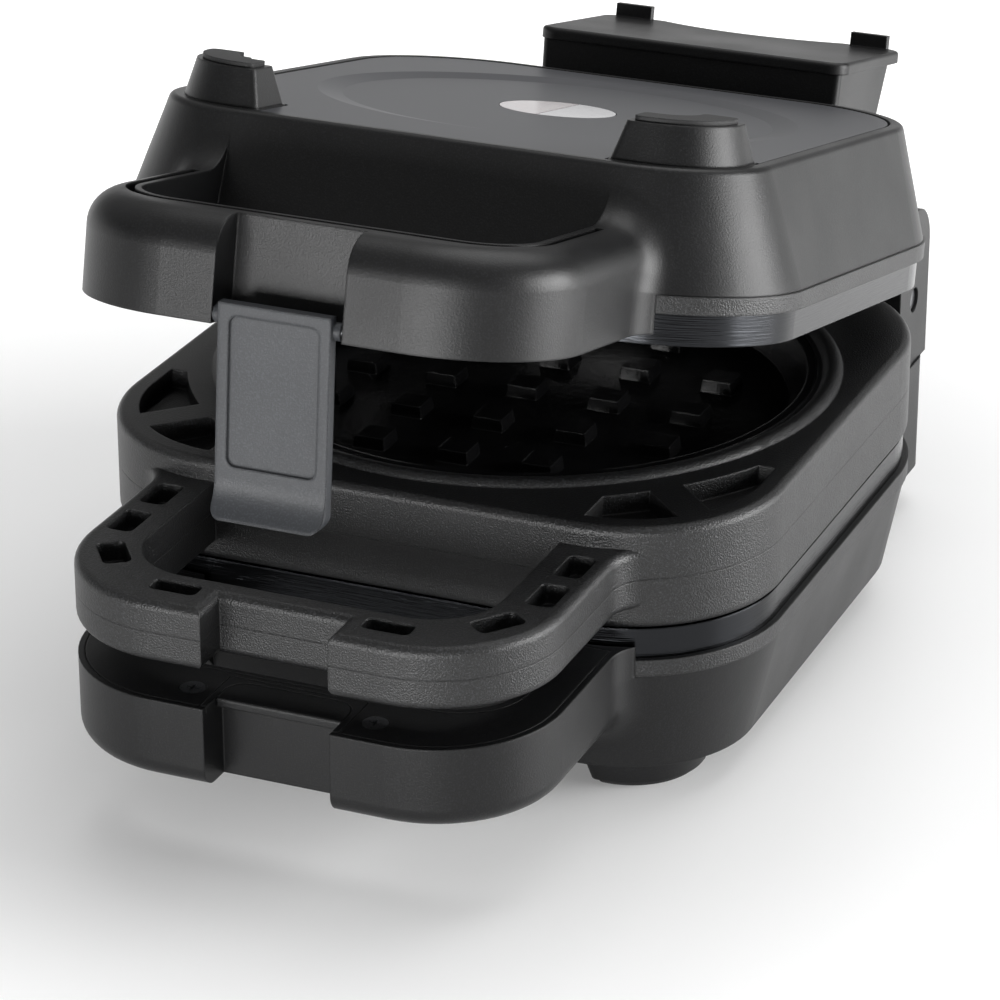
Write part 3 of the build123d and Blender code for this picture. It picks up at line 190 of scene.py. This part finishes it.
def coated_plate(name, tilt=0.0):
    """Black coating inside, blackened metal with turning marks at the edge. Tilt is the deck's angle."""
    material, tree, shader, place = start_material(name, IOR=1.45, Roughness=0.2)
    upright = Matrix.Rotation(tilt, 3, "X")
    shift = hinge - upright @ hinge
    turned_back = {"Vector": place, "Location": shift, "Rotation": (tilt, 0, 0)}
    level = add_node(tree, "ShaderNodeMapping", turned_back)
    well = {"Vector": level.outputs["Vector"], "Location": (0, WELL_SET, 0), "Scale": (1, 1, 0)}
    from_axis = add_node(tree, "ShaderNodeMapping", well).outputs["Vector"]
    radius = add_node(tree, "ShaderNodeVectorMath", {0: from_axis}, operation="LENGTH").outputs["Value"]
    beyond = {0: radius, 1: EDGE_RADIUS}
    edge = add_node(tree, "ShaderNodeMath", beyond, operation="GREATER_THAN").outputs[0]
    stretch = (1 / MARK_LENGTH, 1 / MARK_LENGTH, 1 / TURNING_MARK)
    along = add_node(tree, "ShaderNodeMapping", {"Vector": level.outputs["Vector"], "Scale": stretch})
    marks = add_node(tree, "ShaderNodeTexNoise", {"Vector": along.outputs["Vector"], "Scale": 1, "Detail": 3})
    peel = add_node(tree, "ShaderNodeTexNoise", {"Vector": place, "Scale": 1 / ORANGE_PEEL, "Detail": 2})
    finish = {"Fac": edge, "Color1": colour("#0c0c0d"), "Color2": colour("#2c2d2f")}
    body = add_node(tree, "ShaderNodeMixRGB", finish)
    texture = {"Fac": edge, "Color1": peel.outputs["Fac"], "Color2": marks.outputs["Fac"]}
    height = add_node(tree, "ShaderNodeMixRGB", texture)
    rounded = add_node(tree, "ShaderNodeBevel", {"Radius": EDGE}, samples=4).outputs["Normal"]
    relief = {"Height": height.outputs["Color"], "Distance": PLATE_RELIEF, "Strength": 0.8, "Normal": rounded}
    bump = add_node(tree, "ShaderNodeBump", relief)
    tree.links.new(body.outputs["Color"], shader.inputs["Base Color"])
    tree.links.new(edge, shader.inputs["Metallic"])
    tree.links.new(bump.outputs["Normal"], shader.inputs["Normal"])
    return material


level_plate = coated_plate("non_stick_black")
lid_plate = coated_plate("non_stick_black_lid", tilt=opening)
print("made", level_plate.name, "and", lid_plate.name)

# %% [markdown]
# ## Lid top: brushed inlay and lens
#
# The inlay is a dark grey sheet with a fine straight brushing across it. The lens is two half-round
# windows, a pale red one for heating and a pale grey one for ready, both polished.

# %% Inlay and lens
inlay_finish = {"Base_Color": colour("#38393d"), "Roughness": 0.42, "IOR": 1.5}
inlay_grey, tree, shader, place = start_material("brushed_grey_sheet", **inlay_finish)
BRUSH_LENGTH, BRUSH_WIDTH, BRUSH_DEPTH = 60 * MM, 0.5 * MM, 0.01 * MM
brush = (1 / BRUSH_LENGTH, 1 / BRUSH_WIDTH, 1 / BRUSH_WIDTH)
stretch = add_node(tree, "ShaderNodeMapping", {"Vector": place, "Scale": brush})
strokes = {"Vector": stretch.outputs["Vector"], "Scale": 1, "Detail": 2}
brushing = add_node(tree, "ShaderNodeTexNoise", strokes)
relief = {"Height": brushing.outputs["Fac"], "Distance": BRUSH_DEPTH, "Strength": 0.35}
streaks = add_node(tree, "ShaderNodeBump", relief)
tree.links.new(streaks.outputs["Normal"], shader.inputs["Normal"])

LENS_MOTTLE = 3 * MM


def lens_plastic(name, base):
    """Polished translucent plastic, mottled a little by the light behind it."""
    material, tree, shader, place = start_material(name, Roughness=0.16, IOR=1.49)
    mottle = add_node(tree, "ShaderNodeTexNoise", {"Vector": place, "Scale": 1 / LENS_MOTTLE, "Detail": 2})
    shades = {"Fac": mottle.outputs["Fac"], "Color1": colour(base), "Color2": colour("#9a9a9c")}
    tint = add_node(tree, "ShaderNodeMixRGB", shades)
    tree.links.new(tint.outputs["Color"], shader.inputs["Base Color"])
    return material


lens_red = lens_plastic("lens_pale_red", "#7d6667")
lens_clear = lens_plastic("lens_pale_grey", "#a2a2a4")
print("made", inlay_grey.name, lens_red.name, lens_clear.name)

# %% [markdown]
# ## Rubber, steel and the hidden parts
#
# The pads are matt rubber. Screws, axles and the latch pin are steel, and the parts inside get simple
# finishes, because they show only when the model is taken apart.

# %% Small materials
rubber_black = grained("rubber_matt", "#0e0e0f", "#1b1b1c", 0.62)
STEEL_MARK = 0.4 * MM


def worn_metal(name, base, roughness):
    """Plain steel with fine turning marks."""
    material, tree, shader, place = start_material(name, Base_Color=colour(base), Metallic=1.0)
    marks = add_node(tree, "ShaderNodeTexNoise", {"Vector": place, "Scale": 1 / STEEL_MARK, "Detail": 2})
    gloss_range = {"To Min": roughness - 0.08, "To Max": roughness + 0.08}
    gloss = add_node(tree, "ShaderNodeMapRange", {"Value": marks.outputs["Fac"], **gloss_range})
    tree.links.new(gloss.outputs["Result"], shader.inputs["Roughness"])
    return material


steel = worn_metal("plain_steel", "#8f9093", 0.32)
screw_black = worn_metal("blackened_steel", "#77787b", 0.3)
board_green = grained("board_laminate", "#1f4a2c", "#275a36", 0.45)
print("made", rubber_black.name, steel.name, screw_black.name, board_green.name)

# %% [markdown]
# ## Which node wears what
#
# Each solid node keeps its shape and gets one of the finishes above.

# %% Dress the nodes
finishes = {
    "satin_black_shell": shell_black,
    "textured_black": tray_black,
    "coated_plate": level_plate,
    "grey_inlay": inlay_grey,
    "lens_heating": lens_red,
    "lens_ready": lens_clear,
    "rubber": rubber_black,
    "latch_grey": latch_grey,
    "lamp": lens_clear,
    "board": board_green,
    "steel": steel,
}
node_slot = {part["node"]: part["material_slot"] for part in frame["record"]["subparts"]}
for name, piece in nodes.items():
    piece.data.materials.clear()
    piece.data.materials.append(finishes[node_slot[name]])
nodes["cover_screws"].data.materials[0] = screw_black
nodes["lid_plate"].data.materials[0] = lid_plate
print("dressed", len(nodes), "nodes")

# %% [markdown]
# ## The studio
#
# The object stands on a white floor. Black satin plastic shows its surroundings more than its own
# colour, so the room is a gradient: bright at the horizon, dark above it and soft overhead, as in a
# studio with a white sweep. The floor's glow, for the camera and for reflections, is low near the object
# and rises with distance: a painted soft shadow around the object, with white beyond it.

# %% Floor
FLOOR_SIZE = 12.0
bpy.ops.object.select_all(action="DESELECT")
bpy.ops.mesh.primitive_plane_add(size=FLOOR_SIZE, location=(0, 0, 0))
floor = bpy.context.object
floor.name = "floor"
floor_finish = {"Base_Color": colour("#e6e6e6"), "Roughness": 0.4}
floor_white, tree, shader, place = start_material("floor_white", **floor_finish)
rays = add_node(tree, "ShaderNodeLightPath")
direct = {0: rays.outputs["Is Camera Ray"], 1: rays.outputs["Is Glossy Ray"]}
seen = add_node(tree, "ShaderNodeMath", direct, operation="MAXIMUM")
through = {0: seen.outputs[0], 1: rays.outputs["Is Transmission Ray"]}
seen_through = add_node(tree, "ShaderNodeMath", through, operation="MAXIMUM")
# Painted shadow: the floor's glow is low near the object and rises to white between these distances.
NEAR, FAR = 0.16, 0.50
PAINTED_SHADOW_GLOW, FAR_GLOW = 0.12, 0.6
distance = add_node(tree, "ShaderNodeVectorMath", {0: place}, operation="LENGTH").outputs["Value"]
glow_range = {"From Min": NEAR, "From Max": FAR, "To Min": PAINTED_SHADOW_GLOW, "To Max": FAR_GLOW}
painted_shadow_ramp = {"Value": distance, **glow_range}
painted_shadow_fade = add_node(tree, "ShaderNodeMapRange", painted_shadow_ramp, interpolation_type="SMOOTHSTEP").outputs[0]
glow = add_node(tree, "ShaderNodeMath", {0: seen_through.outputs[0], 1: painted_shadow_fade}, operation="MULTIPLY")
shader.inputs["Emission Color"].default_value = (1, 1, 1, 1)
tree.links.new(glow.outputs[0], shader.inputs["Emission Strength"])
floor.data.materials.append(floor_white)
print("floor", FLOOR_SIZE, "m square")

# %% World
world = bpy.data.worlds.new("studio")
bpy.context.scene.world = world
world.use_nodes = True
tree = world.node_tree
direction = add_node(tree, "ShaderNodeTexCoord").outputs["Generated"]
height = add_node(tree, "ShaderNodeSeparateXYZ", {"Vector": direction}).outputs["Z"]
sweep = add_node(tree, "ShaderNodeValToRGB", {"Fac": height})
levels = [(0.0, 0.85), (0.05, 0.75), (0.12, 0.2), (0.25, 0.16), (0.5, 0.36), (0.8, 0.5), (1.0, 0.6)]
ramp = sweep.color_ramp
for position, _ in levels[1:-1]:
    ramp.elements.new(position)
for element, (position, level) in zip(ramp.elements, levels):
    element.position = position
    element.color = (level, level, level, 1)
background = tree.nodes["Background"]
tree.links.new(sweep.outputs["Color"], background.inputs["Color"])
print("world with", len(levels), "levels")

# %% [markdown]
# ## Lamps
#
# Three soft boxes light the object. The key stands low on the right and draws the bright bands on the
# rounded corners. A wide strip in front lights the handles, and a large lamp above and behind casts a
# soft shadow, which the floor's painted shadow deepens.


# %% Lamps
def softbox(name, place, target, size, watts):
    """A rectangular lamp that faces a point."""
    data = bpy.data.lights.new(name, "AREA")
    data.shape = "RECTANGLE"
    data.size, data.size_y = size
    data.energy = watts
    lamp = bpy.data.objects.new(name, data)
    bpy.context.scene.collection.objects.link(lamp)
    lamp.location = place
    lamp.rotation_euler = (Vector(target) - Vector(place)).to_track_quat("-Z", "Y").to_euler()
    lamp.visible_camera = False
    return lamp


softbox("key", (1.45, 0.36, 0.32), (0, -0.05, 0.10), (1.0, 0.8), 34)
softbox("front_strip", (-0.05, -1.75, 0.20), (0, -0.15, 0.12), (1.4, 0.34), 26)
softbox("overhead", (0.2, 0.9, 2.0), (0, 0, 0), (1.8, 1.8), 22)
